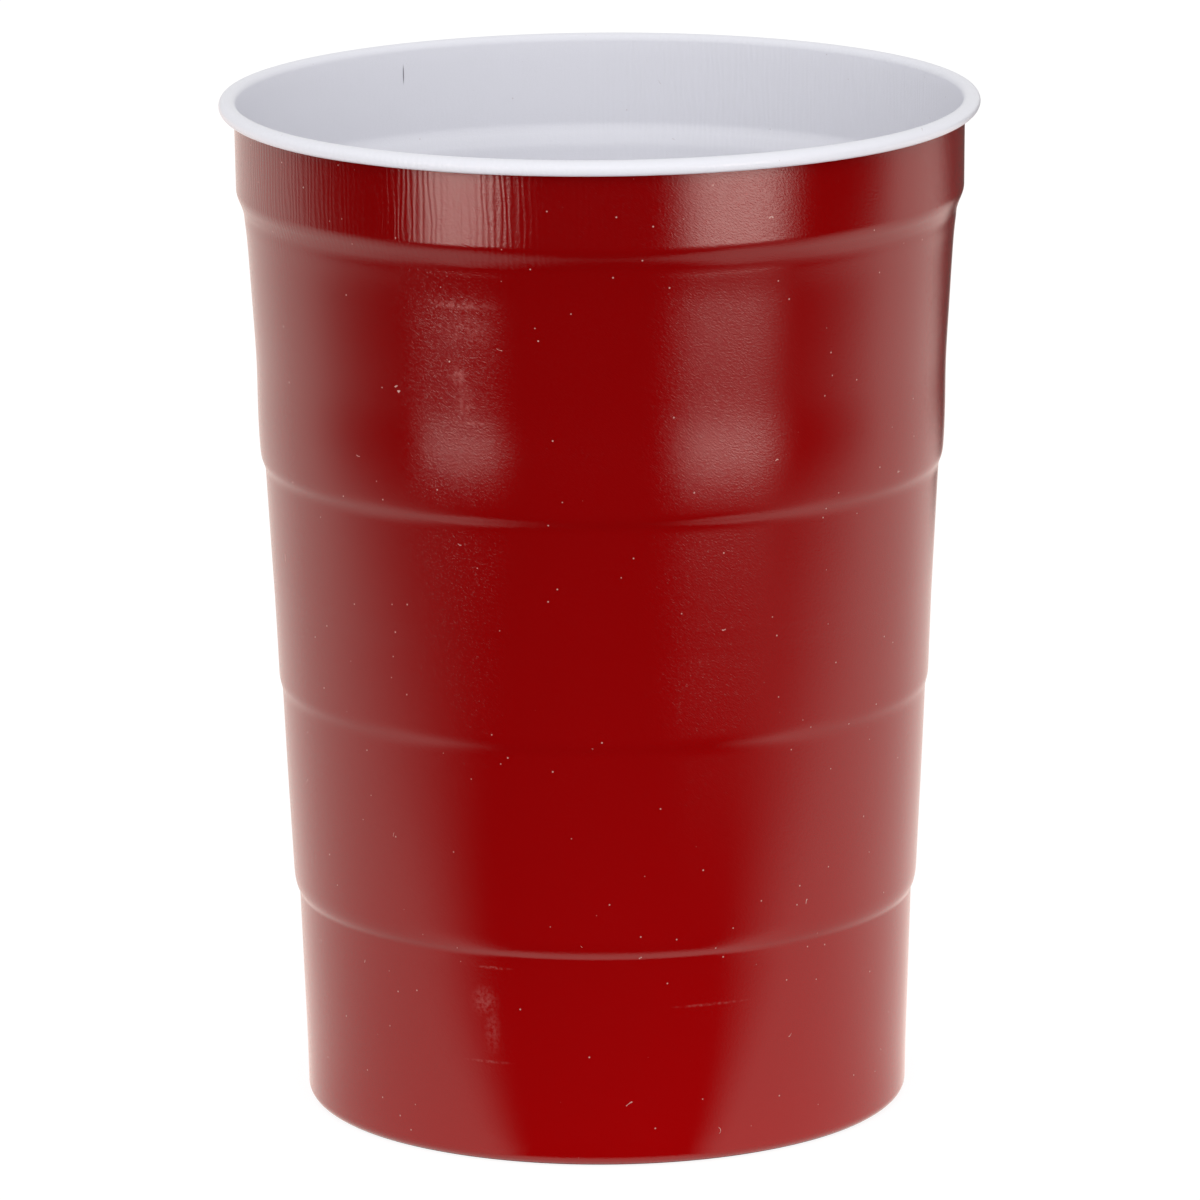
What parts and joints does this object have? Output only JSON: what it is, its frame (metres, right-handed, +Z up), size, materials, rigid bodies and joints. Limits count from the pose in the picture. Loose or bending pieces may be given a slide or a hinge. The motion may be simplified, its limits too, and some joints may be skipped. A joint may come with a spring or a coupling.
{
  "type": "steel party cup",
  "caption": "Tapered steel drinking cup with a stepped wall, a rolled rim and a flat foot ring, red lacquered outside and white inside.",
  "frame": {"origin": "middle of the foot, on the surface that the cup stands on", "axes": "+Z up along the cup's axis, towards the mouth; the cup is round, so +X and +Y are any two directions across it"},
  "size_m": [0.089, 0.089, 0.1202],
  "materials": {
    "lacquered_steel": "glossy red lacquer on drawn sheet steel, with white lacquer inside and on the rolled rim"
  },
  "bodies": {
    "root": {"cup": "lacquered_steel"}
  },
  "joints": []
}
